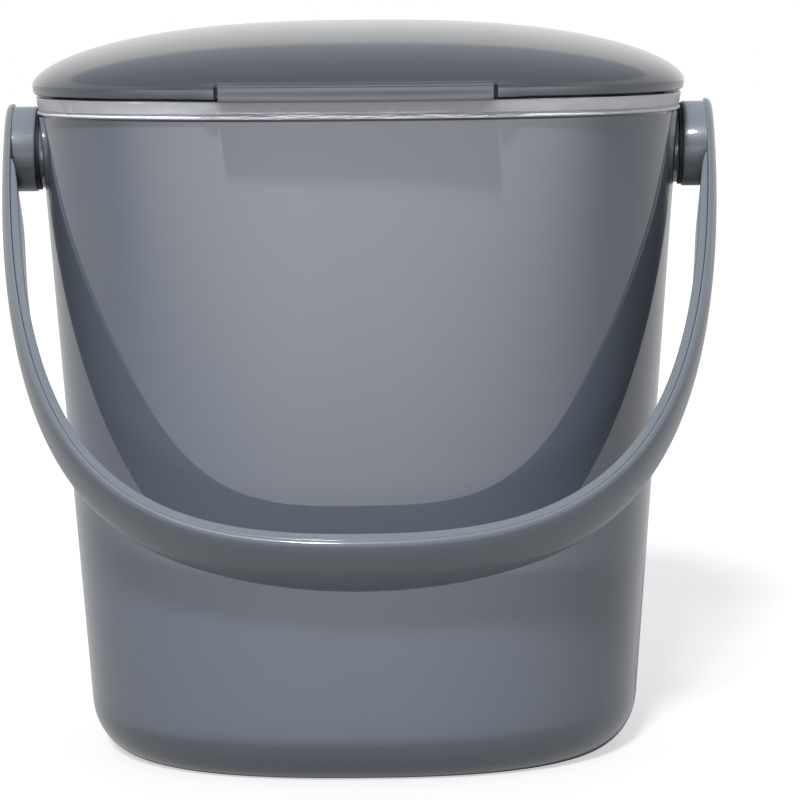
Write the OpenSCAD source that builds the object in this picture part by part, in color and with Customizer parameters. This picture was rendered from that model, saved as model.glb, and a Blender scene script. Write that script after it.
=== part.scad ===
// Countertop compost caddy with a hinged lid and a swinging bail handle.
// Millimetres. +Z is up, -Y is the front, and the origin lies on the ground
// under the middle of the body.

/* [Body] */
// Half width of the body at its shoulder, left to right
rim_half_x = 110.6; // [104:0.2:118]
// Half depth of the body at its shoulder, front to back
rim_half_y = 104; // [96:0.2:112]
// Half width that the straight side walls would have at the ground
base_half_x = 94.4; // [84:0.2:104]
// Half depth that the straight front and back walls would have at the ground
base_half_y = 88.7; // [78:0.2:98]
// Height of the shoulder that the rim collar covers
shoulder_z = 220.6; // [180:0.2:260]
// Exponent of the rounded-square plan: 2 is an ellipse, more is squarer
squareness = 2.5; // [2.2:0.1:3.4]
// Radius of the rounded bottom edge
base_fillet_r = 17; // [8:0.5:24]
// Thickness of the bin's wall at its foot
wall_t = 2.5; // [1.8:0.1:4]
// Thickness of the bin's wall under the shoulder
rim_wall_t = 3.8; // [3.4:0.1:5]
// Thickness of the bin's floor
floor_t = 3; // [2:0.1:5]
// Depth of the recess inside the foot ring
foot_recess = 1.6; // [0.6:0.1:3]
// Width of the foot ring
foot_ring_w = 5; // [3:0.5:10]

/* [Rim collar] */
// Height of the collar's visible band
collar_h = 5.9; // [4:0.1:9]
// Shadow gap between the shoulder and the band
collar_gap = 0.5; // [0.2:0.1:1.2]
// Outward lean of the band from its foot to its top edge
collar_lean = 0.9; // [0:0.1:2]
// Thickness of the collar's outer skirt
collar_skirt_t = 1.5; // [1:0.1:1.9]
// Depth of the fine groove round the band
groove_d = 0.5; // [0.2:0.1:0.8]
// Length of the collar's inner skirt below the top of the neck
inner_skirt_h = 6.5; // [3:0.5:12]
// Thickness of the collar's inner skirt
inner_skirt_t = 1.3; // [0.9:0.1:2]

/* [Lid] */
// How far the lid's widest line stands out past the body's shoulder
lid_overhang = 2; // [1.4:0.1:4]
// Open line between the top of the collar and the edge of the lid
lid_gap = 0.6; // [0.4:0.1:1.5]
// Height of the lid's widest line above the edge of the lid
lid_edge_h = 3.6; // [2:0.1:6]
// How far the edge of the lid tucks in below its widest line
lid_tuck = 3.7; // [1:0.1:5]
// Rise of the dome above the lid's widest line
dome_rise = 21; // [8:0.5:40]
// Wall thickness of the lid's outer shell
lid_t = 2.5; // [1.6:0.1:3]
// Half width of the opening lip at the front of the lid
tab_half_x = 46; // [25:1:60]
// How far the opening lip stands out of the lid
tab_out = 4.2; // [2:0.2:8]
// Length over which the lid flares out beside the lip
tab_wing = 14; // [6:1:24]
// Depth that the closed lid's plug reaches below the top of the collar
plug_h = 4.4; // [2:0.2:8]
// Thickness of the lid's inner panel
panel_t = 2; // [1.4:0.1:3]
// Height of the seal under the inner panel
seal_h = 1.3; // [0.8:0.1:2]
// Width of the seal
seal_w = 1.9; // [1:0.1:2.1]

/* [Lid hinge] */
// Distance of the hinge axis behind the body's shoulder
hinge_back = 5.8; // [5.2:0.1:9]
// Radius of the hinge knuckles
knuckle_r = 4; // [3.2:0.1:5]
// Radius of the hinge pin
hinge_pin_r = 1.6; // [1:0.1:2.2]
// Length of the lid's middle knuckle
lid_knuckle_l = 32; // [16:1:50]
// Length of each knuckle on the collar
collar_knuckle_l = 11; // [6:1:18]

/* [Bail handle] */
// Distance of the handle's pivots below the body's shoulder
pivot_drop = 12.3; // [11.6:0.1:50]
// Distance from the body's boss faces to the inner faces of the handle's arms at the pivots
bail_stand = 6.2; // [5:0.1:12]
// Distance from the pivots to the inner face of the grip
bail_reach = 164.3; // [140:0.5:200]
// Exponent of the loop across its width: more makes a squarer loop
bail_power_x = 3.9; // [2.4:0.1:5]
// Exponent of the loop along its reach
bail_power_z = 2.1; // [1.8:0.1:2.6]
// Half width of the handle's arms
arm_half_w = 12.8; // [9:0.2:15]
// Half width of the grip at its middle
grip_half_w = 15; // [12:0.2:18]
// Radius of the rounded ends of the handle at the pivots
end_r = 15.8; // [14.9:0.1:18]
// Thickness of the handle at its arms
arm_t = 6.6; // [5:0.1:9]
// Thickness of the grip at its middle
grip_t = 7.5; // [5.5:0.1:11]
// Thickness of the cover strip on the inside of the handle
cover_t = 3; // [1.6:0.1:3.6]
// Step between the cover strip and the handle's edge
cover_step = 0.45; // [0.2:0.05:1]
// Radius of the round boss on each end of the handle
boss_r = 14.8; // [12:0.1:14.9]
// Clear line between the resting grip and the body's front
rest_gap = 0.5; // [0.3:0.1:3]

/* [Pivots] */
// How far the boss faces stand out past the body's shoulder
boss_stand = 0.4; // [0.2:0.1:2.4]
// Radius of the round bosses on the body
body_boss_r = 13.6; // [10:0.1:14.4]
// Thickness of the dark washer between the bosses
washer_t = 0.8; // [0.4:0.1:1.2]
// Radius of the pivot pins
pin_r = 5; // [3:0.1:6]
// Radius of the pivot pins' heads inside the bin
pin_head_r = 8; // [7:0.1:9]
// Thickness of the pivot pins' heads
pin_head_t = 2; // [1:0.1:3]
// Depth that a pivot pin reaches into the handle
pin_engage = 6.4; // [4:0.1:7]

/* [Fits] */
// Clearance between seated pieces that don't move
seat_gap = 0.3; // [0.2:0.05:0.4]
// Radial running clearance of a pin in its bore
running_gap = 0.05; // [0.02:0.01:0.1]

/* [Hidden] */
// Facets round the plan of the body, the collar and the lid
plan_sides = 72;
// Rings in the rounded bottom edge
fillet_steps = 6;
// Facets of true circles
$fn = 64;

// Draft of the walls
draft_x = (rim_half_x - base_half_x) / shoulder_z;
draft_y = (rim_half_y - base_half_y) / shoulder_z;

// Collar: heights of the neck that it sits on and of the band
band_foot_z = shoulder_z + collar_gap;
band_top_z = band_foot_z + collar_h;
collar_top_t = 2;
neck_top_z = band_top_z - collar_top_t;
neck_inset = collar_skirt_t + seat_gap;
groove_z = band_foot_z + 1.1;
groove_h = 0.5;
edge_round = 0.4;
collar_bore_inset = rim_wall_t + seat_gap + inner_skirt_t;

// Lid: its widest line, its edge and its top
lid_half_x = rim_half_x + lid_overhang;
lid_half_y = rim_half_y + lid_overhang;
lid_foot_z = band_top_z + lid_gap;
lid_wide_z = lid_foot_z + lid_edge_h;
dome_power = 2.5;
dome_root = 0.6;
crown_flat = 0.13;
// Step in plan from the collar's bore to the lid's plug
plug_clear = 1.1;
plug_inset = collar_bore_inset + plug_clear;
seal_foot_z = band_top_z + seat_gap;
flange_z = seal_foot_z + seal_h;
lid_rim_inset = lid_tuck + lid_t;
seal_inset = plug_inset - seat_gap;

// Hinge: the axis lies behind the collar, level with the foot of its band
hinge_y = rim_half_y + hinge_back;
hinge_z = band_foot_z + 0.4;
knuckle_gap = 0.4;
hinge_bore_r = hinge_pin_r + running_gap;
hinge_pin_l = lid_knuckle_l + 2 * knuckle_gap + 2 * collar_knuckle_l;

// Pivots: their height, the bosses' faces and the handle's arms beside them
pivot_z = shoulder_z - pivot_drop;
body_boss_x = rim_half_x + boss_stand;
bail_half_x = body_boss_x + bail_stand;

// Handle: how far it swings forward before the grip rests on the body
rest_lever_s = bail_reach + draft_y * grip_half_w;
rest_lever_c = draft_y * bail_reach - grip_half_w;
rest_wall = base_half_y + draft_y * pivot_z + rest_gap;
rest_angle = asin(rest_wall / norm([rest_lever_s, rest_lever_c])) - atan2(rest_lever_c, rest_lever_s);
// Width of the stretch over which the handle widens into the grip
grip_half_l = 62;
// Reach over which the rounded end narrows into the arm
end_blend = 48;
bail_steps = 44;
section_steps = 12;
section_power = 3;
seam_gap = 0.1;

// Pivots: the gap between a washer and the handle's boss, the pins and their seats
handle_boss_x = body_boss_x + washer_t + 0.2;
washer_r = boss_r - 0.6;
pin_seat_x = rim_half_x - rim_wall_t - 1.9;
pin_pad_r = 9.5;
pin_bore_depth = pin_engage + 0.5;

function raise(v, p) = sign(v) * pow(abs(v), p);
function blend(a, b, t) = a + (b - a) * t;
function ease(t) = let (u = min(1, max(0, t))) u * u * (3 - 2 * u);

// Half width and half depth of the body's outer wall at a height
function wall_x(z) = base_half_x + draft_x * z;
function wall_y(z) = base_half_y + draft_y * z;

// Point of a rounded square in the direction of an angle
function plan_point(hx, hy, angle) =
    let (r = pow(pow(abs(cos(angle)) / hx, squareness) + pow(abs(sin(angle)) / hy, squareness),
                 -1 / squareness))
    [r * cos(angle), r * sin(angle)];

// Ring of points on a rounded square at height z
function plan_ring(hx, hy, z) =
    [for (i = [0:plan_sides - 1]) let (p = plan_point(hx, hy, 360 * i / plan_sides)) [p[0], p[1], z]];

// Rings that step in from the body's outer wall: each entry is [inset, z]
function wall_rings(profile) =
    [for (e = profile) plan_ring(wall_x(max(e[1], 0)) - e[0], wall_y(max(e[1], 0)) - e[0], e[1])];

// Rings that step in from the outline of the shoulder: each entry is [inset, z]
function rim_rings(profile) =
    [for (e = profile) plan_ring(rim_half_x - e[0], rim_half_y - e[0], e[1])];

// Two triangles between neighbouring points of neighbouring rings
function ring_faces(k, next_k, n) =
    [for (i = [0:n - 1]) let (j = (i + 1) % n, a = k * n, b = next_k * n)
        each [[a + i, b + i, b + j], [a + i, b + j, a + j]]];

// Solid through a stack of rings, with flat ends
module loft(rings) {
    n = len(rings[0]);
    m = len(rings);
    sides = [for (k = [0:m - 2]) each ring_faces(k, k + 1, n)];
    first = [for (i = [0:n - 1]) i];
    last = [for (i = [n - 1:-1:0]) (m - 1) * n + i];
    polyhedron(points = [for (r = rings) each r], faces = concat(sides, [first, last]), convexity = 8);
}

// Closed ring solid whose last outline joins its first
module loft_ring(rings) {
    n = len(rings[0]);
    m = len(rings);
    polyhedron(points = [for (r = rings) each r],
               faces = [for (k = [0:m - 1]) each ring_faces(k, (k + 1) % m, n)], convexity = 8);
}

// Cylinder along X from x0 to x1
module rod_x(r, x0, x1) {
    translate([min(x0, x1), 0, 0])
        rotate([0, 90, 0])
            cylinder(r = r, h = abs(x1 - x0));
}

// Inset of a rounded bottom edge of radius r at step k
function fillet(r, k) = r * (1 - sin(90 * k / fillet_steps));
function fillet_rise(r, k) = r * (1 - cos(90 * k / fillet_steps));

// The bin: drafted walls, rounded bottom edge, foot ring and a neck for the collar
module body() {
    foot_inset = base_fillet_r * 0.8;
    inner_r = base_fillet_r - wall_t;
    floor_z = foot_recess + floor_t;
    outside = concat(
        [[foot_inset + foot_ring_w, foot_recess], [foot_inset + foot_ring_w, 0]],
        [for (k = [0:fillet_steps])
            [fillet(base_fillet_r, k) * 0.8, fillet_rise(base_fillet_r, k)]],
        [[0, shoulder_z]]);
    neck = [[neck_inset, shoulder_z], [neck_inset, neck_top_z], [rim_wall_t, neck_top_z],
            [rim_wall_t, shoulder_z - inner_skirt_h]];
    inside = [for (k = [fillet_steps:-1:0])
        [wall_t + fillet(inner_r, k), floor_z + fillet_rise(inner_r, k)]];
    color("#666c73")
        difference() {
            union() {
                loft(concat(wall_rings(outside), rim_rings([neck[0], neck[1], neck[2]]),
                            wall_rings([neck[3]]), wall_rings(inside)));
                for (side = [-1, 1])
                    body_boss(side);
            }
            for (side = [-1, 1])
                translate([0, 0, pivot_z])
                    rod_x(pin_r + running_gap, side * (pin_seat_x - 3), side * (body_boss_x + 1));
        }
}

// Round pivot boss through one side wall, cut flat under the rim collar
module body_boss(side) {
    intersection() {
        translate([0, 0, pivot_z]) {
            rod_x(body_boss_r, side * (rim_half_x - rim_wall_t + 0.6), side * body_boss_x);
            rod_x(pin_pad_r, side * pin_seat_x, side * (rim_half_x - rim_wall_t + 1));
        }
        translate([-rim_half_x - 10, -body_boss_r - 5, 0])
            cube([2 * rim_half_x + 20, 2 * body_boss_r + 10, shoulder_z]);
    }
}

// Light ring that covers the neck and carries the outer hinge knuckles
module rim_collar() {
    foot_in = collar_skirt_t;
    bore = collar_bore_inset;
    skirt_z = neck_top_z - inner_skirt_h;
    outline = [[0, band_foot_z], [-0.2, groove_z - 0.1], [groove_d - 0.2, groove_z],
               [groove_d - 0.2, groove_z + groove_h], [-0.3, groove_z + groove_h + 0.1],
               [-collar_lean, band_top_z - edge_round], [edge_round - collar_lean, band_top_z],
               [bore - edge_round, band_top_z], [bore, band_top_z - edge_round], [bore, skirt_z],
               [bore - inner_skirt_t, skirt_z], [bore - inner_skirt_t, neck_top_z],
               [foot_in, neck_top_z], [foot_in, band_foot_z]];
    knuckle_x = lid_knuckle_l / 2 + knuckle_gap;
    color("#a5a3a8")
        difference() {
            union() {
                loft_ring(rim_rings(outline));
                for (side = [-1, 1])
                    collar_knuckle(side, knuckle_x);
            }
            translate([0, hinge_y, hinge_z])
                rod_x(hinge_bore_r, -hinge_pin_l, hinge_pin_l);
        }
}

// One knuckle behind the collar with the web that carries it
module collar_knuckle(side, x0) {
    x1 = side * (x0 + collar_knuckle_l);
    web_foot_z = band_foot_z;
    translate([0, hinge_y, hinge_z])
        rod_x(knuckle_r, side * x0, x1);
    translate([min(side * x0, x1), rim_half_y - collar_skirt_t + 0.4, web_foot_z])
        cube([collar_knuckle_l, hinge_back + collar_skirt_t - 0.4, hinge_z + knuckle_r - web_foot_z - 0.6]);
}

// Height of the dome over its widest line at a share of its plan
function dome(t, rise) = rise * pow(1 - pow(t, dome_power), dome_root);

// Angles of the lid's plan, with extra ones at the ends of the front lip
tab_angle = atan2(tab_half_x, lid_half_y);
tab_step_angle = 1.1;
lid_angles = concat(
    [for (i = [0:plan_sides - 1]) let (a = 360 * i / plan_sides)
        if (abs(abs(a - 270) - tab_angle) > tab_step_angle * 1.6 || a < 180) a],
    [for (s = [-1, 1], e = [-1, 1]) 270 + s * (tab_angle + e * tab_step_angle)]);

function sorted(v) = len(v) <= 1 ? v :
    let (p = v[floor(len(v) / 2)])
    concat(sorted([for (e = v) if (e < p) e]), [for (e = v) if (e == p) e],
           sorted([for (e = v) if (e > p) e]));

// Share of the lip's stand-out at an angle: the lip itself, then its fading wing
function lip_share(angle, x) =
    let (past = abs(x) - tab_half_x)
    sin(angle) > 0 ? 0 :
    past < 0 ? 1 :
    0.45 * (1 - ease((past - 1) / tab_wing));

// Ring of the lid's outside: the lip pushes its front part out by push
function lid_ring(hx, hy, z, push) =
    [for (a = sorted(lid_angles)) let (p = plan_point(hx, hy, a), s = lip_share(a, p[0]))
        [p[0], p[1] - s * push, z - (push > tab_out * 1.2 ? s * 0.5 : 0)]];

function lid_edge_ring(inset, z, push) = lid_ring(lid_half_x - inset, lid_half_y - inset, z, push);

// Domed outer shell of the lid, with the front lip and the middle hinge knuckle
module lid_shell() {
    edge = [[lid_tuck, 0, lid_tuck + tab_out * 0.7], [1.4, 0.22 * lid_edge_h, tab_out + 1.3],
            [0.3, 0.55 * lid_edge_h, tab_out + 0.5], [0, lid_edge_h, tab_out * 0.86]];
    shares = [0.985, 0.96, 0.925, 0.87, 0.79, 0.69, 0.57, 0.43, 0.28, crown_flat];
    outside = concat(
        [for (e = edge) lid_edge_ring(e[0], lid_foot_z + e[1], e[2])],
        [for (t = shares) lid_ring(lid_half_x * t, lid_half_y * t, lid_wide_z + dome(t, dome_rise),
                                   t > 0.98 ? tab_out * 0.3 : 0)]);
    inner_x = lid_half_x - lid_t;
    inner_y = lid_half_y - lid_t;
    inside = concat(
        [for (t = [crown_flat, 0.35, 0.57, 0.75, 0.89, 0.97])
            lid_ring(inner_x * t, inner_y * t, lid_wide_z + dome(t, dome_rise - lid_t), 0)],
        [lid_edge_ring(lid_t, lid_wide_z, 0), lid_edge_ring(lid_rim_inset, lid_foot_z, 0)]);
    color("#666c73")
        difference() {
            union() {
                lid_solid(outside, inside);
                lid_knuckle();
            }
            translate([0, hinge_y, hinge_z])
                rod_x(hinge_bore_r, -hinge_pin_l, hinge_pin_l);
        }
}

// Shell between an outer and an inner stack of rings that meet at the lid's edge
module lid_solid(outside, inside) {
    rings = concat(outside, inside);
    n = len(rings[0]);
    m = len(rings);
    top = len(outside) - 1;
    stacks = [for (k = [0:m - 1]) if (k != top) each ring_faces(k, (k + 1) % m, n)];
    crown = [for (i = [n - 1:-1:0]) top * n + i];
    ceiling = [for (i = [0:n - 1]) (top + 1) * n + i];
    polyhedron(points = [for (r = rings) each r], faces = concat(stacks, [crown, ceiling]), convexity = 8);
}

// Middle knuckle with the web that joins it to the back edge of the lid
module lid_knuckle() {
    web_y = lid_half_y - lid_rim_inset + 1.4;
    web_z = lid_foot_z + 0.4;
    translate([0, hinge_y, hinge_z])
        rod_x(knuckle_r, -lid_knuckle_l / 2, lid_knuckle_l / 2);
    translate([-lid_knuckle_l / 2, web_y, web_z])
        cube([lid_knuckle_l, hinge_y + knuckle_r - web_y, 2.6]);
    translate([-lid_knuckle_l / 2, hinge_y - knuckle_r + 1.6, hinge_z])
        cube([lid_knuckle_l, 2 * knuckle_r - 1.6, web_z + 1 - hinge_z]);
}

// Tray that closes the lid from below and plugs the collar
module lid_inner_panel() {
    plug_foot_z = band_top_z - plug_h;
    bevel = 2;
    flange_inset = lid_half_x - rim_half_x;
    outline = [[plug_inset + bevel, plug_foot_z], [plug_inset, plug_foot_z + bevel],
               [plug_inset, flange_z], [lid_rim_inset - flange_inset - 0.7, flange_z],
               [lid_rim_inset - flange_inset - 0.7, flange_z + panel_t],
               [plug_inset + panel_t, flange_z + panel_t],
               [plug_inset + panel_t, plug_foot_z + panel_t + bevel],
               [plug_inset + panel_t + bevel, plug_foot_z + panel_t]];
    color("#5d6269")
        loft(rim_rings(outline));
}

// Soft seal under the inner panel's flange
module lid_seal() {
    outline = [[seal_inset - seal_w, flange_z], [seal_inset, flange_z],
               [seal_inset, seal_foot_z + 0.4], [seal_inset - 0.4, seal_foot_z],
               [seal_inset - seal_w + 0.4, seal_foot_z], [seal_inset - seal_w, seal_foot_z + 0.4]];
    color("#1d1e20")
        loft_ring(rim_rings([for (i = [len(outline) - 1:-1:0]) outline[i]]));
}

// Steel pin through the three hinge knuckles
module hinge_pin() {
    color("#b9bcc0")
        translate([0, hinge_y, hinge_z])
            rod_x(hinge_pin_r, -hinge_pin_l / 2, hinge_pin_l / 2);
}

// Places the handle, drawn hanging straight down from the pivots, as it rests
module as_it_rests() {
    translate([0, 0, pivot_z])
        rotate([-rest_angle, 0, 0])
            children();
}

// Inner face of the loop: angle 0 is the middle of the grip, 90 is a pivot
function loop_point(a) =
    [bail_half_x * sin(a),
     -bail_reach * pow(max(0, 1 - pow(abs(sin(a)), bail_power_x)), 1 / bail_power_z)];
function loop_normal(a) =
    let (d = loop_point(min(a + 0.5, 90)) - loop_point(max(a - 0.5, -90)))
    [d[1], -d[0]] / norm(d);

// Half width and thickness of the handle along the loop
function handle_half_w(p) =
    let (arm = blend(end_r, arm_half_w, ease((-p[1]) / end_blend)))
    blend(grip_half_w, arm, ease(abs(p[0]) / grip_half_l));
function handle_t(p) = blend(grip_t, arm_t, ease(abs(p[0]) / bail_half_x));

// Stations along the loop: [point, normal, half width, thickness]
end_shares = [0.995, 0.96, 0.88, 0.72, 0.5, 0.25];
loop_stations = [for (i = [0:bail_steps])
    let (a = -90 + 180 * i / bail_steps, p = loop_point(a))
    [p, loop_normal(a), handle_half_w(p), handle_t(p)]];
function end_station(side, share) =
    [[side * bail_half_x, share * end_r], [side, 0], end_r * sqrt(1 - share * share), arm_t];
handle_stations = concat(
    [for (s = end_shares) end_station(-1, s)],
    loop_stations,
    [for (i = [len(end_shares) - 1:-1:0]) end_station(1, end_shares[i])]);

// Crowned outside of the handle's section above its flat back
function shell_section(half_w, t) =
    [for (i = [0:section_steps])
        let (w = -cos(180 * i / section_steps))
        [w * half_w, cover_t + (t - cover_t) * pow(1 - pow(abs(w), section_power), 1 / section_power)]];
function cover_section(half_w) =
    let (w = half_w - cover_step, t = cover_t - seam_gap)
    [[-w, 0.4], [-w, t], [w, t], [w, 0.4], [w - 0.4, 0], [0.4 - w, 0]];

// Section points [w, t] set up at one station
function place_section(station, section) =
    [for (q = section)
        [station[0][0] + station[1][0] * q[1], q[0], station[0][1] + station[1][1] * q[1]]];

// Crowned moulding of the handle with its round ends and bosses
module handle_shell() {
    color("#6a7077")
        as_it_rests()
            difference() {
                union() {
                    loft([for (s = handle_stations) place_section(s, shell_section(s[2], s[3]))]);
                    for (side = [-1, 1])
                        handle_boss(side);
                }
                for (side = [-1, 1])
                    rod_x(pin_r + running_gap, side * (handle_boss_x - 1),
                          side * (handle_boss_x + pin_bore_depth));
            }
}

// Round boss that stands in from the round end and turns on a pivot pin
module handle_boss(side) {
    rod_x(boss_r, side * handle_boss_x, side * (bail_half_x + cover_t + 0.8));
}

// Strip that closes the handle on its inner side, between the round ends
module handle_cover() {
    kept = [for (s = loop_stations) if (-s[0][1] > 0.3 * end_r) s];
    color("#6a7077")
        as_it_rests()
            difference() {
                loft([for (s = kept) place_section(s, cover_section(s[2]))]);
                for (side = [-1, 1])
                    rod_x(boss_r + seat_gap, side * (bail_half_x - 20), side * (bail_half_x + 20));
            }
}

// Headed pin from inside the bin through the wall into the handle's boss
module pivot_pin(side) {
    color("#3c4045")
        translate([0, 0, pivot_z]) {
            rod_x(pin_head_r, side * (pin_seat_x - pin_head_t), side * pin_seat_x);
            rod_x(pin_r, side * (pin_seat_x - 0.5), side * (handle_boss_x + pin_engage));
        }
}

// Thin dark washer against the body's boss
module pivot_washer(side) {
    color("#141517")
        translate([0, 0, pivot_z])
            difference() {
                rod_x(washer_r, side * body_boss_x, side * (body_boss_x + washer_t));
                rod_x(pin_r + running_gap, side * (body_boss_x - 1), side * (body_boss_x + washer_t + 1));
            }
}

module pivot_pin_left() {
    pivot_pin(-1);
}

module pivot_pin_right() {
    pivot_pin(1);
}

module pivot_washer_left() {
    pivot_washer(-1);
}

module pivot_washer_right() {
    pivot_washer(1);
}

body();
rim_collar();
lid_shell();
lid_inner_panel();
lid_seal();
hinge_pin();
handle_shell();
handle_cover();
pivot_pin_left();
pivot_pin_right();
pivot_washer_left();
pivot_washer_right();
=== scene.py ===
import math

import bmesh
import bpy
from mathutils import Matrix, Vector


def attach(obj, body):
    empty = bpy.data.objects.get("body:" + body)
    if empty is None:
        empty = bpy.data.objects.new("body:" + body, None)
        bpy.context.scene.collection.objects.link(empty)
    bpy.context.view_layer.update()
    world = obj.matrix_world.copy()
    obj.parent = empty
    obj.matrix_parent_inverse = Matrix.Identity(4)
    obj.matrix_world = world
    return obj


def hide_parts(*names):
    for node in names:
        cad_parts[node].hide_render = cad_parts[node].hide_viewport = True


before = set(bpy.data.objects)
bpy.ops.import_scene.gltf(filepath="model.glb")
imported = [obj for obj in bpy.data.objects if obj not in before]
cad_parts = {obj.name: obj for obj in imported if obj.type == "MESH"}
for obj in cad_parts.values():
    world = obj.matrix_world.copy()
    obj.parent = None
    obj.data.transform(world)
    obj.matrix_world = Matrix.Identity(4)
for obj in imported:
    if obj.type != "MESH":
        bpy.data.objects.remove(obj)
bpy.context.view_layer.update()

# Sizes in millimetres, the same as in the CAD source
SQUARENESS = 2.5
RIM_X, RIM_Y = 110.6, 104.0
BASE_X, BASE_Y = 94.4, 88.7
SHOULDER_Z = 220.6
BASE_FILLET = 17.0
FOOT_INSET = BASE_FILLET * 0.8
FOOT_RING_W = 5.0
FOOT_RECESS = 1.6
FLOOR_T = 3.0
WALL_T = 2.5
RIM_WALL_T = 3.8
NECK_INSET = 1.8
NECK_TOP_Z = 225.0
INNER_SKIRT_H = 6.5

BAND_FOOT_Z = 221.1
BAND_TOP_Z = 227.0
BAND_LEAN = 0.9
GROOVE_Z = 222.2
GROOVE_H = 0.5
GROOVE_D = 0.5
FOOT_OUT = 0.6
COLLAR_BORE = 5.4
INNER_SKIRT_T = 1.3
SKIRT_T = 1.5

LID_X, LID_Y = 112.6, 106.0
LID_FOOT_Z = 227.6
LID_WIDE_Z = 231.2
LID_TUCK = 3.7
LID_T = 2.5
LID_RIM_INSET = LID_TUCK + LID_T
DOME_RISE = 21.0
DOME_POWER = 2.5
DOME_ROOT = 0.6
LIP_OUT = 4.2
LIP_DROP = 0.9
NOTCH_X = 45.0
NOTCH_HALF_W = 0.8
NOTCH_SHARE = 0.05
WING_SHARE = 0.4
WING_L = 11.0

HINGE_Y, HINGE_Z = 109.8, 221.5
KNUCKLE_R = 4.0
LID_KNUCKLE_L = 32.0
COLLAR_KNUCKLE_L = 11.0
KNUCKLE_GAP = 0.4

PIVOT_Z = 208.3
BAIL_X = 117.2
BAIL_REACH = 166.7
BAIL_POWER_X = 3.9
GRIP_POWER_X = 2.4
REST_TILT = 39.4
BAIL_POWER_Z = 2.1
ARM_HALF_W = 12.8
GRIP_HALF_W = 15.0
END_R = 15.8
ARM_T = 6.6
GRIP_T = 7.5
COVER_T = 3.0
COVER_STEP = 0.45
SEAM_GAP = 0.1
LINING_TAPER = 26.0
BOSS_R = 14.8
HANDLE_BOSS_X = 112.0
GRIP_HALF_L = 62.0
END_BLEND = 48.0
SECTION_POWER = 2.3
BODY_BOSS_X = 111.0
BODY_BOSS_R = 13.6
PIN_PAD_R = 9.5
PIN_SEAT_X = 104.9

MM = 0.001
PLAN_SIDES = 288
SMOOTH_ANGLE = math.radians(32)


# Mesh building

def rounded_square(hx, hy, angle):
    """Point of the plan outline in the direction of an angle in radians."""
    c, s = math.cos(angle), math.sin(angle)
    r = ((abs(c) / hx) ** SQUARENESS + (abs(s) / hy) ** SQUARENESS) ** (-1 / SQUARENESS)
    return r * c, r * s


def plan_ring(hx, hy, z, sides=PLAN_SIDES):
    ring = []
    for i in range(sides):
        x, y = rounded_square(hx, hy, 2 * math.pi * i / sides)
        ring.append((x, y, z))
    return ring


def wall_x(z):
    return BASE_X + (RIM_X - BASE_X) / SHOULDER_Z * z


def wall_y(z):
    return BASE_Y + (RIM_Y - BASE_Y) / SHOULDER_Z * z


def wall_rings(profile):
    """Rings that step in from the drafted wall, from (inset, z) pairs."""
    return [plan_ring(wall_x(max(z, 0)) - inset, wall_y(max(z, 0)) - inset, z) for inset, z in profile]


def rim_rings(profile):
    """Rings that step in from the outline of the shoulder, from (inset, z) pairs."""
    return [plan_ring(RIM_X - inset, RIM_Y - inset, z) for inset, z in profile]


def rounded(profile, radius, steps=4, closed=True):
    """The (a, b) outline with its corners rounded."""
    out = []
    n = len(profile)
    for i, corner in enumerate(profile):
        if not closed and i in (0, n - 1):
            out.append(corner)
            continue
        before, after = profile[i - 1], profile[(i + 1) % n]
        p, a, b = Vector(corner), Vector(before), Vector(after)
        la, lb = (a - p).length, (b - p).length
        r = min(radius, la * 0.45, lb * 0.45)
        start, end = p + (a - p).normalized() * r, p + (b - p).normalized() * r
        for k in range(steps + 1):
            t = k / steps
            q = start * (1 - t) ** 2 + p * 2 * t * (1 - t) + end * t ** 2
            out.append((q.x, q.y))
    return out


def loft(rings, joined=False, cap_first=False, cap_last=False):
    """(vertices, faces) of a skin through rings of the same number of points."""
    n = len(rings[0])
    points = [p for ring in rings for p in ring]
    faces = []
    spans = len(rings) if joined else len(rings) - 1
    for k in range(spans):
        a, b = k * n, ((k + 1) % len(rings)) * n
        for i in range(n):
            j = (i + 1) % n
            faces.append((a + i, a + j, b + j, b + i))
    for wanted, ring_index, flip in ((cap_first, 0, True), (cap_last, len(rings) - 1, False)):
        if wanted:
            ring = rings[ring_index]
            centre = [sum(p[axis] for p in ring) / n for axis in range(3)]
            points.append(tuple(centre))
            for i in range(n):
                j = (i + 1) % n
                edge = (ring_index * n + j, ring_index * n + i) if flip else \
                    (ring_index * n + i, ring_index * n + j)
                faces.append(edge + (len(points) - 1,))
    return points, faces


def merged(*parts):
    points, faces = [], []
    for part_points, part_faces in parts:
        offset = len(points)
        points += part_points
        faces += [tuple(i + offset for i in face) for face in part_faces]
    return points, faces


def spun_x(profile, sides=96, cut_z=None, centre=(0.0, 0.0)):
    """Skin of (x, radius) pairs turned about the X axis through centre (y, z)."""
    rings = []
    for x, r in profile:
        ring = []
        for i in range(sides):
            a = 2 * math.pi * i / sides
            z = r * math.sin(a) + centre[1]
            ring.append((x, r * math.cos(a) + centre[0], z if cut_z is None else min(z, cut_z)))
        rings.append(ring)
    return loft(rings, cap_first=True, cap_last=True)


def block(low, high):
    (x0, y0, z0), (x1, y1, z1) = low, high
    points = [(x, y, z) for z in (z0, z1) for x, y in ((x0, y0), (x1, y0), (x1, y1), (x0, y1))]
    return points, [(3, 2, 1, 0), (4, 5, 6, 7), (0, 1, 5, 4), (1, 2, 6, 5), (2, 3, 7, 6), (3, 0, 4, 7)]


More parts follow.
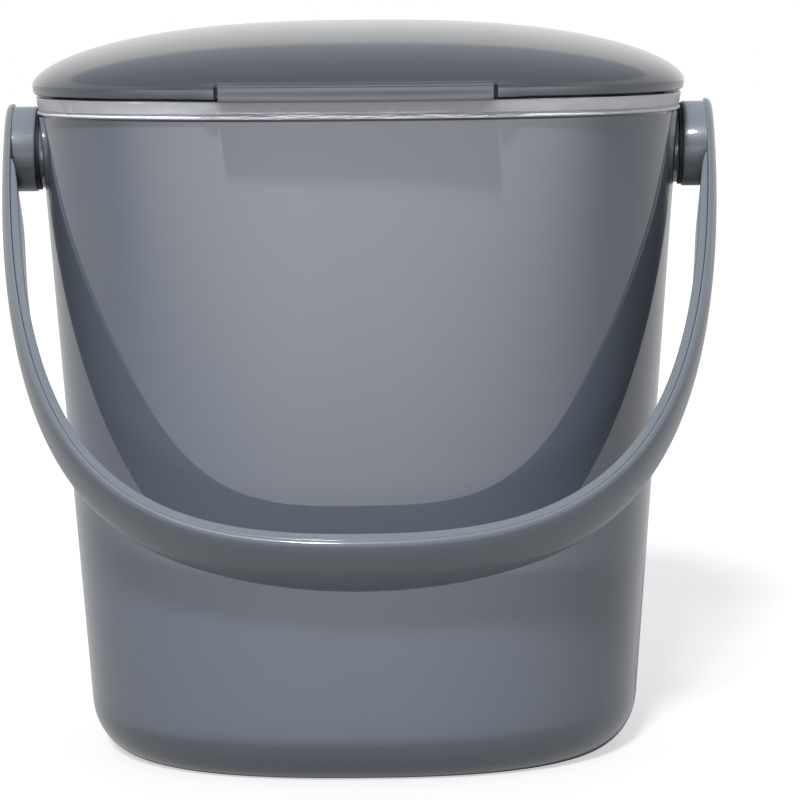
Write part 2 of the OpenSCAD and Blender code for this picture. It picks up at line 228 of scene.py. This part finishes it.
def make_piece(name, parts, body, material, replaces=(), transform=None):
    """Mesh object from parts in millimetres, riding on a body of the part."""
    points, faces = merged(*parts)
    mesh = bpy.data.meshes.new(name)
    mesh.from_pydata([tuple(v * MM for v in p) for p in points], [], faces)
    if transform is not None:
        mesh.transform(transform)
    work = bmesh.new()
    work.from_mesh(mesh)
    bmesh.ops.remove_doubles(work, verts=work.verts, dist=1e-6)
    bmesh.ops.recalc_face_normals(work, faces=work.faces)
    for face in work.faces:
        face.smooth = True
    for edge in work.edges:
        edge.smooth = len(edge.link_faces) == 2 and edge.calc_face_angle(0) < SMOOTH_ANGLE
    work.to_mesh(mesh)
    work.free()
    piece = bpy.data.objects.new(name, mesh)
    bpy.context.scene.collection.objects.link(piece)
    piece.data.materials.append(material)
    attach(piece, body)
    if replaces:
        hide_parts(*replaces)
    return piece


# Materials

def srgb(r, g, b):
    """Scene colour of an 8-bit display colour."""
    out = []
    for v in (r, g, b):
        v /= 255
        out.append(v / 12.92 if v <= 0.04045 else ((v + 0.055) / 1.055) ** 2.4)
    return (*out, 1.0)


def moulded_plastic(name, colour, roughness, coat=0.0, coat_roughness=0.03, coat_ior=1.5, base_gloss=0.5,
                    wear=0.25, ripple=0.02, grain=0.01):
    """Moulded plastic: faint flow ripple, fine grain, uneven gloss and rubbed edges."""
    material = bpy.data.materials.new(name)
    material.use_nodes = True
    nodes, links = material.node_tree.nodes, material.node_tree.links
    shader = nodes["Principled BSDF"]
    shader.inputs["Coat Weight"].default_value = coat
    shader.inputs["Coat Roughness"].default_value = coat_roughness
    shader.inputs["Coat IOR"].default_value = coat_ior
    shader.inputs["Specular IOR Level"].default_value = base_gloss
    shader.inputs["IOR"].default_value = 1.5
    place = nodes.new("ShaderNodeTexCoord")

    smudge = nodes.new("ShaderNodeTexNoise")
    smudge.inputs["Scale"].default_value = 14.0
    smudge.inputs["Detail"].default_value = 5.0
    links.new(place.outputs["Object"], smudge.inputs["Vector"])

    gloss = nodes.new("ShaderNodeMapRange")
    gloss.inputs["From Min"].default_value = 0.3
    gloss.inputs["From Max"].default_value = 0.7
    gloss.inputs["To Min"].default_value = roughness * 0.8
    gloss.inputs["To Max"].default_value = roughness * 1.25
    links.new(smudge.outputs["Fac"], gloss.inputs["Value"])

    geometry = nodes.new("ShaderNodeNewGeometry")
    edge = nodes.new("ShaderNodeMapRange")
    edge.inputs["From Min"].default_value = 0.52
    edge.inputs["From Max"].default_value = 0.62
    edge.inputs["To Max"].default_value = wear
    links.new(geometry.outputs["Pointiness"], edge.inputs["Value"])

    tone = nodes.new("ShaderNodeMix")
    tone.data_type = "RGBA"
    tone.inputs["A"].default_value = tuple(v * 0.95 for v in colour[:3]) + (1.0,)
    tone.inputs["B"].default_value = tuple(min(1.0, v * 1.05) for v in colour[:3]) + (1.0,)
    links.new(smudge.outputs["Fac"], tone.inputs["Factor"])

    rubbed = nodes.new("ShaderNodeMix")
    rubbed.data_type = "RGBA"
    rubbed.inputs["B"].default_value = tuple(min(1.0, v * 1.5 + 0.02) for v in colour[:3]) + (1.0,)
    links.new(edge.outputs["Result"], rubbed.inputs["Factor"])
    links.new(tone.outputs["Result"], rubbed.inputs["A"])
    links.new(rubbed.outputs["Result"], shader.inputs["Base Color"])

    dull = nodes.new("ShaderNodeMath")
    dull.operation = "MULTIPLY_ADD"
    dull.inputs[1].default_value = 0.3
    links.new(edge.outputs["Result"], dull.inputs[0])
    links.new(gloss.outputs["Result"], dull.inputs[2])
    links.new(dull.outputs["Value"], shader.inputs["Roughness"])

    flow = nodes.new("ShaderNodeTexNoise")
    flow.inputs["Scale"].default_value = 22.0
    flow.inputs["Detail"].default_value = 2.0
    links.new(place.outputs["Object"], flow.inputs["Vector"])
    wave = nodes.new("ShaderNodeBump")
    wave.inputs["Strength"].default_value = ripple
    wave.inputs["Distance"].default_value = 0.002
    links.new(flow.outputs["Fac"], wave.inputs["Height"])

    speck = nodes.new("ShaderNodeTexNoise")
    speck.inputs["Scale"].default_value = 1800.0
    speck.inputs["Detail"].default_value = 3.0
    links.new(place.outputs["Object"], speck.inputs["Vector"])
    fine = nodes.new("ShaderNodeBump")
    fine.inputs["Strength"].default_value = grain
    fine.inputs["Distance"].default_value = 0.0002
    links.new(speck.outputs["Fac"], fine.inputs["Height"])
    links.new(wave.outputs["Normal"], fine.inputs["Normal"])
    links.new(fine.outputs["Normal"], shader.inputs["Normal"])
    return material


def turned_steel(name):
    """Drawn steel with a fine grain."""
    material = moulded_plastic(name, srgb(188, 190, 194), 0.28, wear=0.1, ripple=0.0, grain=0.05)
    material.node_tree.nodes["Principled BSDF"].inputs["Metallic"].default_value = 1.0
    return material


BIN = moulded_plastic("bin_plastic", srgb(57, 62, 70), 0.2, coat=1.0, coat_ior=1.9, base_gloss=0.1)
COLLAR = moulded_plastic("collar_plastic", srgb(180, 179, 186), 0.25, coat=0.3, wear=0.1, ripple=0.004)
LID = moulded_plastic("lid_plastic", srgb(62, 67, 75), 0.2, coat=1.0, coat_roughness=0.05,
                      coat_ior=1.9, base_gloss=0.1)
PANEL = moulded_plastic("panel_plastic", srgb(93, 98, 105), 0.42, grain=0.08)
SEAL = moulded_plastic("seal_rubber", srgb(30, 30, 32), 0.6, wear=0.05, grain=0.2)
PIN_STEEL = turned_steel("pin_steel")
HANDLE = moulded_plastic("handle_plastic", srgb(86, 92, 99), 0.36, coat=0.7, coat_roughness=0.08)
PIVOT = moulded_plastic("pivot_plastic", srgb(60, 64, 69), 0.35)
WASHER = moulded_plastic("washer_plastic", srgb(22, 22, 25), 0.5, wear=0.05)


# Body

def quarter(radius_in, radius_up, steps=14):
    """(inset, rise) pairs of a rounded bottom edge, from its foot up."""
    turns = [math.pi / 2 * k / steps for k in range(steps + 1)]
    return [(radius_in * (1 - math.sin(a)), radius_up * (1 - math.cos(a))) for a in turns]


def build_body():
    floor_z = FOOT_RECESS + FLOOR_T
    inner_r = BASE_FILLET - WALL_T
    foot = rounded([(FOOT_INSET + FOOT_RING_W, FOOT_RECESS), (FOOT_INSET + FOOT_RING_W, 0),
                    (FOOT_INSET + 0.4, 0)], 0.5, closed=False)
    heights = [24, 40, 80, 120, 160, 190, 205, 214, 219]
    outside = foot + quarter(FOOT_INSET, BASE_FILLET) + [(0, z) for z in heights]
    shoulder = [(0, SHOULDER_Z - 0.2), (NECK_INSET, SHOULDER_Z - 0.2)]
    neck = [(NECK_INSET, NECK_TOP_Z), (RIM_WALL_T, NECK_TOP_Z), (RIM_WALL_T, SHOULDER_Z)]
    inside = [(RIM_WALL_T, SHOULDER_Z - INNER_SKIRT_H), (3.6, 160), (3.2, 100), (2.8, 50)]
    inside += [(WALL_T + i, floor_z + rise) for i, rise in reversed(quarter(inner_r, inner_r))]
    rings = wall_rings(outside) + rim_rings(shoulder + neck) + wall_rings(inside)
    bin_skin = loft(rings, cap_first=True, cap_last=True)
    parts = [bin_skin]
    for side in (-1, 1):
        boss = [(side * (RIM_X - RIM_WALL_T + 0.8), BODY_BOSS_R), (side * (BODY_BOSS_X - 0.9), BODY_BOSS_R),
                (side * (BODY_BOSS_X - 0.35), BODY_BOSS_R - 0.2), (side * (BODY_BOSS_X - 0.1), BODY_BOSS_R - 0.5),
                (side * BODY_BOSS_X, BODY_BOSS_R - 0.9)]
        parts.append(spun_x(boss, cut_z=SHOULDER_Z - 0.05, centre=(0, PIVOT_Z)))
        pad = [(side * PIN_SEAT_X, PIN_PAD_R - 0.4), (side * (PIN_SEAT_X + 0.4), PIN_PAD_R),
               (side * (RIM_X - RIM_WALL_T + 1), PIN_PAD_R)]
        parts.append(spun_x(pad, centre=(0, PIVOT_Z)))
    return make_piece("body_shell", parts, "base", BIN, ["body"])


# Rim collar

def build_collar():
    skirt_z = NECK_TOP_Z - INNER_SKIRT_H
    outline = [(-FOOT_OUT, BAND_FOOT_Z), (-FOOT_OUT, GROOVE_Z - 0.1), (GROOVE_D - 0.2, GROOVE_Z),
               (GROOVE_D - 0.2, GROOVE_Z + GROOVE_H), (-0.3, GROOVE_Z + GROOVE_H + 0.1),
               (-BAND_LEAN, BAND_TOP_Z), (COLLAR_BORE, BAND_TOP_Z), (COLLAR_BORE, skirt_z),
               (COLLAR_BORE - INNER_SKIRT_T, skirt_z), (COLLAR_BORE - INNER_SKIRT_T, NECK_TOP_Z),
               (SKIRT_T, NECK_TOP_Z), (SKIRT_T, BAND_FOOT_Z)]
    ring = loft(rim_rings(rounded(outline, 0.45)), joined=True)
    parts = [ring]
    x0 = LID_KNUCKLE_L / 2 + KNUCKLE_GAP
    for side in (-1, 1):
        x1 = x0 + COLLAR_KNUCKLE_L
        parts.append(knuckle(side * x0, side * x1))
        low = (min(side * x0, side * x1), RIM_Y - SKIRT_T + 0.4, BAND_FOOT_Z)
        high = (max(side * x0, side * x1), HINGE_Y, HINGE_Z + KNUCKLE_R - 0.6)
        parts.append(block(low, high))
    return make_piece("rim_collar_ring", parts, "base", COLLAR, ["rim_collar"])


def knuckle(x0, x1):
    a, b = sorted((x0, x1))
    ease = 0.5
    profile = [(a, KNUCKLE_R - ease), (a + ease * 0.3, KNUCKLE_R - ease * 0.3), (a + ease, KNUCKLE_R),
               (b - ease, KNUCKLE_R), (b - ease * 0.3, KNUCKLE_R - ease * 0.3), (b, KNUCKLE_R - ease)]
    return spun_x(profile, sides=48, centre=(HINGE_Y, HINGE_Z))


# Lid

def smooth_step(t):
    t = min(1.0, max(0.0, t))
    return t * t * (3 - 2 * t)


def dome(share, rise):
    return rise * max(0.0, 1 - share ** DOME_POWER) ** DOME_ROOT


def lid_angles(sides=360):
    """Angles of the lid's plan, closer together at both ends of the lip."""
    angles = [2 * math.pi * i / sides for i in range(sides)]
    end = math.atan2(NOTCH_X, LID_Y)
    for side in (-1, 1):
        for k in range(-24, 25):
            angles.append(1.5 * math.pi + side * end + k * 0.0016)
    return sorted(set(round(a, 6) for a in angles))


LID_ANGLES = lid_angles()


def lip_share(angle, x):
    """How far out the front stands at a place: the lip, the notch at its end, then its wing."""
    if math.sin(angle) > 0:
        return 0.0
    past = abs(x) - NOTCH_X
    if past < -NOTCH_HALF_W:
        return 1.0
    if past < 0:
        return mix(1.0, NOTCH_SHARE, smooth_step(1 + past / NOTCH_HALF_W))
    if past < NOTCH_HALF_W:
        return mix(NOTCH_SHARE, WING_SHARE, smooth_step(past / NOTCH_HALF_W))
    return WING_SHARE * (1 - smooth_step((past - NOTCH_HALF_W) / WING_L))


def lid_ring(hx, hy, z, push, drop=0.0):
    """Ring of the lid. The front stands out by push there, and the lip alone hangs down by drop."""
    ring = []
    for a in LID_ANGLES:
        x, y = rounded_square(hx, hy, a)
        hang = smooth_step((NOTCH_X + NOTCH_HALF_W - abs(x)) / 3) if math.sin(a) < 0 else 0.0
        ring.append((x, y - lip_share(a, x) * push, z - hang * drop))
    return ring


def mix(a, b, t):
    return a + (b - a) * t


def build_lid():
    edge_h = LID_WIDE_Z - LID_FOOT_Z
    edge = [(LID_TUCK, 0, LIP_OUT + 2.4, LIP_DROP), (1.9, 0.01, LIP_OUT + 1.1, LIP_DROP),
            (1.1, 0.05 * edge_h, LIP_OUT + 0.7, LIP_DROP), (0.65, 0.12 * edge_h, LIP_OUT + 0.42, LIP_DROP * 0.9),
            (0.4, 0.26 * edge_h, LIP_OUT + 0.26, 0.45), (0.18, 0.5 * edge_h, LIP_OUT + 0.1, 0),
            (0.06, 0.72 * edge_h, LIP_OUT + 0.02, 0), (0, edge_h, LIP_OUT + 0.03, 0)]
    rings = [lid_ring(LID_X - i, LID_Y - i, LID_FOOT_Z + up, push, drop) for i, up, push, drop in edge]
    shelf = [(0.9998, 1.02), (0.9995, 1.0), (0.9991, 0.93), (0.9985, 0.8), (0.9975, 0.58), (0.9963, 0.37),
             (0.995, 0.18), (0.9935, 0.05), (0.992, 0.0)]
    for t, share in shelf:
        rings.append(lid_ring(LID_X * t, LID_Y * t, LID_WIDE_Z + dome(t, DOME_RISE), LIP_OUT * share))
    shares = [0.988, 0.982, 0.972, 0.96, 0.945, 0.925, 0.9, 0.87, 0.83, 0.79, 0.74, 0.69, 0.63, 0.57,
              0.5, 0.43, 0.35, 0.28, 0.2, 0.13, 0.07, 0.03]
    for t in shares:
        rings.append(lid_ring(LID_X * t, LID_Y * t, LID_WIDE_Z + dome(t, DOME_RISE), 0))
    outer = loft(rings, cap_last=True)
    inner_x, inner_y = LID_X - LID_T, LID_Y - LID_T
    under = [lid_ring(LID_X - LID_TUCK, LID_Y - LID_TUCK, LID_FOOT_Z, LIP_OUT + 2.4, LIP_DROP),
             lid_ring(LID_X - LID_RIM_INSET, LID_Y - LID_RIM_INSET, LID_FOOT_Z, 0),
             lid_ring(inner_x, inner_y, LID_WIDE_Z, 0)]
    for t in (0.97, 0.93, 0.87, 0.78, 0.66, 0.5, 0.3, 0.1):
        under.append(lid_ring(inner_x * t, inner_y * t, LID_WIDE_Z + dome(t, DOME_RISE - LID_T), 0))
    inner = loft(under, cap_last=True)
    web_y = LID_Y - LID_RIM_INSET + 1.4
    web_z = LID_FOOT_Z + 0.4
    half = LID_KNUCKLE_L / 2
    hinge = [knuckle(-half, half),
             block((-half, web_y, web_z), (half, HINGE_Y + KNUCKLE_R, web_z + 2.6)),
             block((-half, HINGE_Y - KNUCKLE_R + 1.6, HINGE_Z), (half, HINGE_Y + KNUCKLE_R, web_z + 1))]
    return make_piece("lid_dome", [outer, inner] + hinge, "lid", LID, ["lid_shell"])


# Handle

def loop_point(a):
    """Point of the bail's loop, which is rounder at the grip than at the arms."""
    s = math.sin(a)
    power = mix(GRIP_POWER_X, BAIL_POWER_X, abs(s) ** 1.3)
    reach = max(0.0, 1 - abs(s) ** power) ** (1 / BAIL_POWER_Z)
    return BAIL_X * s, -BAIL_REACH * reach


def loop_normal(a):
    step = math.radians(0.25)
    p, q = loop_point(min(a + step, math.pi / 2)), loop_point(max(a - step, -math.pi / 2))
    d = (p[0] - q[0], p[1] - q[1])
    size = math.hypot(*d)
    return d[1] / size, -d[0] / size


def handle_station(a):
    x, s = loop_point(a)
    arm = mix(END_R, ARM_HALF_W, smooth_step(-s / END_BLEND))
    half_w = mix(GRIP_HALF_W, arm, smooth_step(abs(x) / GRIP_HALF_L))
    return (x, s), loop_normal(a), half_w, mix(GRIP_T, ARM_T, smooth_step(abs(x) / BAIL_X))


def end_station(side, share):
    return (side * BAIL_X, share * END_R), (side, 0), END_R * math.sqrt(1 - share * share), ARM_T


def loop_angles(steps=220):
    """Angles evenly spaced along the loop's length."""
    fine = [math.pi * (i / 4000 - 0.5) for i in range(4001)]
    length = [0.0]
    for a, b in zip(fine, fine[1:]):
        p, q = loop_point(a), loop_point(b)
        length.append(length[-1] + math.hypot(q[0] - p[0], q[1] - p[1]))
    out, k = [], 0
    for i in range(steps + 1):
        target = length[-1] * i / steps
        while k < 4000 and length[k] < target:
            k += 1
        out.append(fine[k])
    return out


def placed(station, section):
    (x, s), (nx, ns), _, _ = station
    return [(x + nx * t, w, s + ns * t) for w, t in section]


def shell_section(half_w, t, steps=40):
    crown = []
    for i in range(steps + 1):
        w = -math.cos(math.pi * i / steps)
        crown.append((w * half_w, COVER_T + 0.2 + (t - COVER_T - 0.2) * (1 - abs(w) ** SECTION_POWER)
                      ** (1 / SECTION_POWER)))
    back = [(half_w - 0.06, COVER_T + 0.06), (half_w - 0.25, COVER_T), (0.25 - half_w, COVER_T),
            (0.06 - half_w, COVER_T + 0.06)]
    return crown + back


def cover_section(half_w, reach):
    """Section of the lining. It thins out where it meets the boss."""
    w, t = half_w - COVER_STEP, COVER_T - SEAM_GAP
    back = mix(t - 0.35, 0, math.sqrt(1 - (1 - min(1, reach / LINING_TAPER)) ** 2))
    return rounded([(-w, back), (-w, t), (w, t), (w, back)], 0.5)


REST = Matrix.Translation((0, 0, PIVOT_Z * MM)) @ Matrix.Rotation(-math.radians(REST_TILT), 4, "X")


def build_handle():
    angles = loop_angles()
    shares = [0.999, 0.99, 0.97, 0.94, 0.9, 0.84, 0.76, 0.66, 0.54, 0.4, 0.26, 0.12]
    stations = [end_station(-1, s) for s in shares]
    stations += [handle_station(a) for a in angles]
    stations += [end_station(1, s) for s in reversed(shares)]
    strap = loft([placed(s, shell_section(s[2], s[3])) for s in stations], cap_first=True, cap_last=True)
    parts = [strap]
    for side in (-1, 1):
        face = BAIL_X + COVER_T + 0.8
        boss = [(side * HANDLE_BOSS_X, BOSS_R - 0.8), (side * (HANDLE_BOSS_X + 0.12), BOSS_R - 0.4),
                (side * (HANDLE_BOSS_X + 0.4), BOSS_R - 0.12), (side * (HANDLE_BOSS_X + 0.8), BOSS_R),
                (side * face, BOSS_R)]
        parts.append(spun_x(boss))
    make_piece("handle_bow", parts, "handle", HANDLE, ["handle_shell"], REST)
    kept = [handle_station(a) for a in angles if -loop_point(a)[1] > BOSS_R + 0.1]
    cover = loft([placed(s, cover_section(s[2], -s[0][1] - BOSS_R)) for s in kept], cap_first=True, cap_last=True)
    make_piece("handle_lining", [cover], "handle", HANDLE, ["handle_cover"], REST)


def dress_cad_nodes():
    """Materials for the CAD solids that are shown as they are."""
    looks = {"lid_inner_panel": (PANEL, "panel_plastic"), "lid_seal": (SEAL, "seal_rubber"),
             "hinge_pin": (PIN_STEEL, "pin_steel"), "pivot_pin_left": (PIVOT, "pivot_plastic"),
             "pivot_pin_right": (PIVOT, "pivot_plastic"), "pivot_washer_left": (WASHER, "washer_plastic"),
             "pivot_washer_right": (WASHER, "washer_plastic")}
    for node, (material, slot) in looks.items():
        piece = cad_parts[node]
        piece.data.materials.clear()
        piece.data.materials.append(material)


build_body()
build_collar()
build_lid()
build_handle()
dress_cad_nodes()


# Floor, light and camera

FLOOR_WHITE = 0.45
CAMERA_LIFT = 0.56
GLOSSY_LIFT = 1.15
TABLE_GLOW_Y = -1.1
TABLE_GLOW_R = 1.12
TABLE_GLOW_WIDTH = 3.5
BACKDROP_TOP = 0.5
STRIP_TOP = 0.67
SURROUND = (0.78, 0.78, 0.77, 1)
ROOM_GREY = (0.3, 0.31, 0.33, 1)
STRIP_GREY = (0.47, 0.5, 0.55, 1)
CEILING_GREY = (0.47, 0.49, 0.54, 1)


def floor_paper():
    """Pale paper. It glows a little, evenly, for the camera, so the table reads white. For reflections alone it
    glows strongly in a broad patch in front of the bin: a painted reflection of bright light that lights nothing.
    """
    material = bpy.data.materials.new("floor_paper")
    material.use_nodes = True
    nodes, links = material.node_tree.nodes, material.node_tree.links
    shader = nodes["Principled BSDF"]
    shader.inputs["Base Color"].default_value = (FLOOR_WHITE, FLOOR_WHITE, FLOOR_WHITE, 1)
    shader.inputs["Roughness"].default_value = 0.7
    shader.inputs["Specular IOR Level"].default_value = 0.1
    shader.inputs["Emission Color"].default_value = (1, 1, 1, 1)
    path = nodes.new("ShaderNodeLightPath")
    seen = nodes.new("ShaderNodeMath")
    seen.operation = "MULTIPLY"
    seen.inputs[1].default_value = CAMERA_LIFT
    links.new(path.outputs["Is Camera Ray"], seen.inputs[0])
    geometry = nodes.new("ShaderNodeNewGeometry")
    reach = nodes.new("ShaderNodeVectorMath")
    reach.operation = "DISTANCE"
    reach.inputs[1].default_value = (0, TABLE_GLOW_Y, 0)
    oval = nodes.new("ShaderNodeVectorMath")
    oval.operation = "MULTIPLY"
    oval.inputs[1].default_value = (1 / TABLE_GLOW_WIDTH, 1, 1)
    links.new(geometry.outputs["Position"], oval.inputs[0])
    links.new(oval.outputs["Vector"], reach.inputs[0])
    # Painted reflection: the glow for glossy rays only, brightest at TABLE_GLOW_Y and gone by TABLE_GLOW_R
    reflection_glow = nodes.new("ShaderNodeMapRange")
    reflection_glow.interpolation_type = "SMOOTHSTEP"
    reflection_glow.inputs["From Max"].default_value = TABLE_GLOW_R
    reflection_glow.inputs["To Min"].default_value = GLOSSY_LIFT
    reflection_glow.inputs["To Max"].default_value = 0.0
    links.new(reach.outputs["Value"], reflection_glow.inputs["Value"])
    mirrored = nodes.new("ShaderNodeMath")
    mirrored.operation = "MULTIPLY_ADD"
    links.new(path.outputs["Is Glossy Ray"], mirrored.inputs[0])
    links.new(reflection_glow.outputs["Result"], mirrored.inputs[1])
    links.new(seen.outputs["Value"], mirrored.inputs[2])
    links.new(mirrored.outputs["Value"], shader.inputs["Emission Strength"])
    return material


def build_floor():
    mesh = bpy.data.meshes.new("floor")
    size = 8.0
    corners = [(-size, -size, 0), (size, -size, 0), (size, size, 0), (-size, size, 0)]
    mesh.from_pydata(corners, [], [(0, 1, 2, 3)])
    floor = bpy.data.objects.new("floor", mesh)
    bpy.context.scene.collection.objects.link(floor)
    floor.data.materials.append(floor_paper())


def build_world():
    """White surround up to the top of the backdrop, a darker ceiling and a dim room in front."""
    world = bpy.data.worlds.new("studio")
    bpy.context.scene.world = world
    world.use_nodes = True
    nodes, links = world.node_tree.nodes, world.node_tree.links
    background = nodes["Background"]
    place = nodes.new("ShaderNodeTexCoord")
    axes = nodes.new("ShaderNodeSeparateXYZ")
    links.new(place.outputs["Generated"], axes.inputs["Vector"])
    ceiling = nodes.new("ShaderNodeMapRange")
    ceiling.inputs["From Min"].default_value = BACKDROP_TOP - 0.02
    ceiling.inputs["From Max"].default_value = BACKDROP_TOP + 0.02
    links.new(axes.outputs["Z"], ceiling.inputs["Value"])
    room = nodes.new("ShaderNodeMapRange")
    room.inputs["From Min"].default_value = -0.75
    room.inputs["From Max"].default_value = -0.35
    links.new(axes.outputs["Y"], room.inputs["Value"])
    low = nodes.new("ShaderNodeMix")
    low.data_type = "RGBA"
    low.inputs["A"].default_value = ROOM_GREY
    low.inputs["B"].default_value = SURROUND
    links.new(room.outputs["Result"], low.inputs["Factor"])
    upper = nodes.new("ShaderNodeMapRange")
    upper.inputs["From Min"].default_value = STRIP_TOP - 0.02
    upper.inputs["From Max"].default_value = STRIP_TOP + 0.02
    links.new(axes.outputs["Z"], upper.inputs["Value"])
    roof = nodes.new("ShaderNodeMix")
    roof.data_type = "RGBA"
    roof.inputs["A"].default_value = STRIP_GREY
    roof.inputs["B"].default_value = CEILING_GREY
    links.new(upper.outputs["Result"], roof.inputs["Factor"])
    high = nodes.new("ShaderNodeMix")
    high.data_type = "RGBA"
    links.new(roof.outputs["Result"], high.inputs["B"])
    links.new(low.outputs["Result"], high.inputs["A"])
    links.new(ceiling.outputs["Result"], high.inputs["Factor"])
    path = nodes.new("ShaderNodeLightPath")
    shade = nodes.new("ShaderNodeMix")
    shade.data_type = "RGBA"
    shade.inputs["B"].default_value = (1, 1, 1, 1)
    links.new(path.outputs["Is Camera Ray"], shade.inputs["Factor"])
    links.new(high.outputs["Result"], shade.inputs["A"])
    links.new(shade.outputs["Result"], background.inputs["Color"])


def sun(name, azimuth, elevation, strength, angle, glint=True):
    """Distant lamp. Azimuth runs from the front to the left, both angles in degrees."""
    data = bpy.data.lights.new(name, "SUN")
    data.energy = strength
    data.angle = math.radians(angle)
    lamp = bpy.data.objects.new(name, data)
    bpy.context.scene.collection.objects.link(lamp)
    a, e = math.radians(azimuth), math.radians(elevation)
    towards = Vector((-math.sin(a) * math.cos(e), -math.cos(a) * math.cos(e), math.sin(e)))
    lamp.rotation_euler = towards.to_track_quat("Z", "Y").to_euler()
    lamp.location = towards * 2
    lamp.visible_glossy = glint
    return lamp


def build_lights():
    everything = [o.name for o in bpy.context.scene.objects if o.type == "MESH"]
    front = sun("front_key", 9.5, 33, 2.1, 8)
    front.light_linking.receiver_collection = group("front_key_lights", *set(everything) - {"body_shell"})
    table = sun("table_key", 9.5, 33, 1.5, 8)
    table.light_linking.receiver_collection = group("table_key_lights", "floor")
    body = sun("body_key", 9.5, 48, 4.6, 8, glint=False)
    body.light_linking.receiver_collection = group("body_key_lights", "body_shell")
    bounce = sun("table_bounce", 0, -28, 1.2, 14, glint=False)
    bounce.light_linking.receiver_collection = group("table_bounce_lights", "body_shell")
    bounce.light_linking.blocker_collection = group("table_bounce_blockers", "body_shell", "handle_bow",
                                                    "handle_lining")
    top = sun("top_key", 18, 74, 20, 3, glint=False)
    top.light_linking.receiver_collection = group("top_key_lights", "body_shell")
    top.light_linking.blocker_collection = group("top_key_blockers", "body_shell", "rim_collar_ring", "lid_dome")
    band = sun("band_key", 18, 74, 8.5, 3, glint=False)
    band.light_linking.receiver_collection = group("band_key_lights", "rim_collar_ring")
    grip = sun("grip_key", 18, 74, 5, 6, glint=False)
    grip.light_linking.receiver_collection = group("grip_key_lights", "handle_bow", "handle_lining")


def group(name, *members):
    collection = bpy.data.collections.new(name)
    for member in members:
        collection.objects.link(bpy.data.objects[member])
    return collection


def build_camera():
    data = bpy.data.cameras.new("photo_camera")
    data.sensor_width = 36.0
    data.lens = 36.0 * 3716 / 800
    data.shift_y = -3.2 / 800
    data.clip_end = 50
    camera = bpy.data.objects.new("photo_camera", data)
    bpy.context.scene.collection.objects.link(camera)
    tilt = Matrix.Rotation(math.pi / 2 - 0.108, 4, "X")
    roll = Matrix.Rotation(-0.009, 4, "Z")
    camera.matrix_world = Matrix.Translation((0.01336, -1.3, 0.261)) @ tilt @ roll
    bpy.context.scene.camera = camera


build_floor()
build_world()
build_lights()
build_camera()
bpy.context.scene.view_settings.view_transform = "Standard"
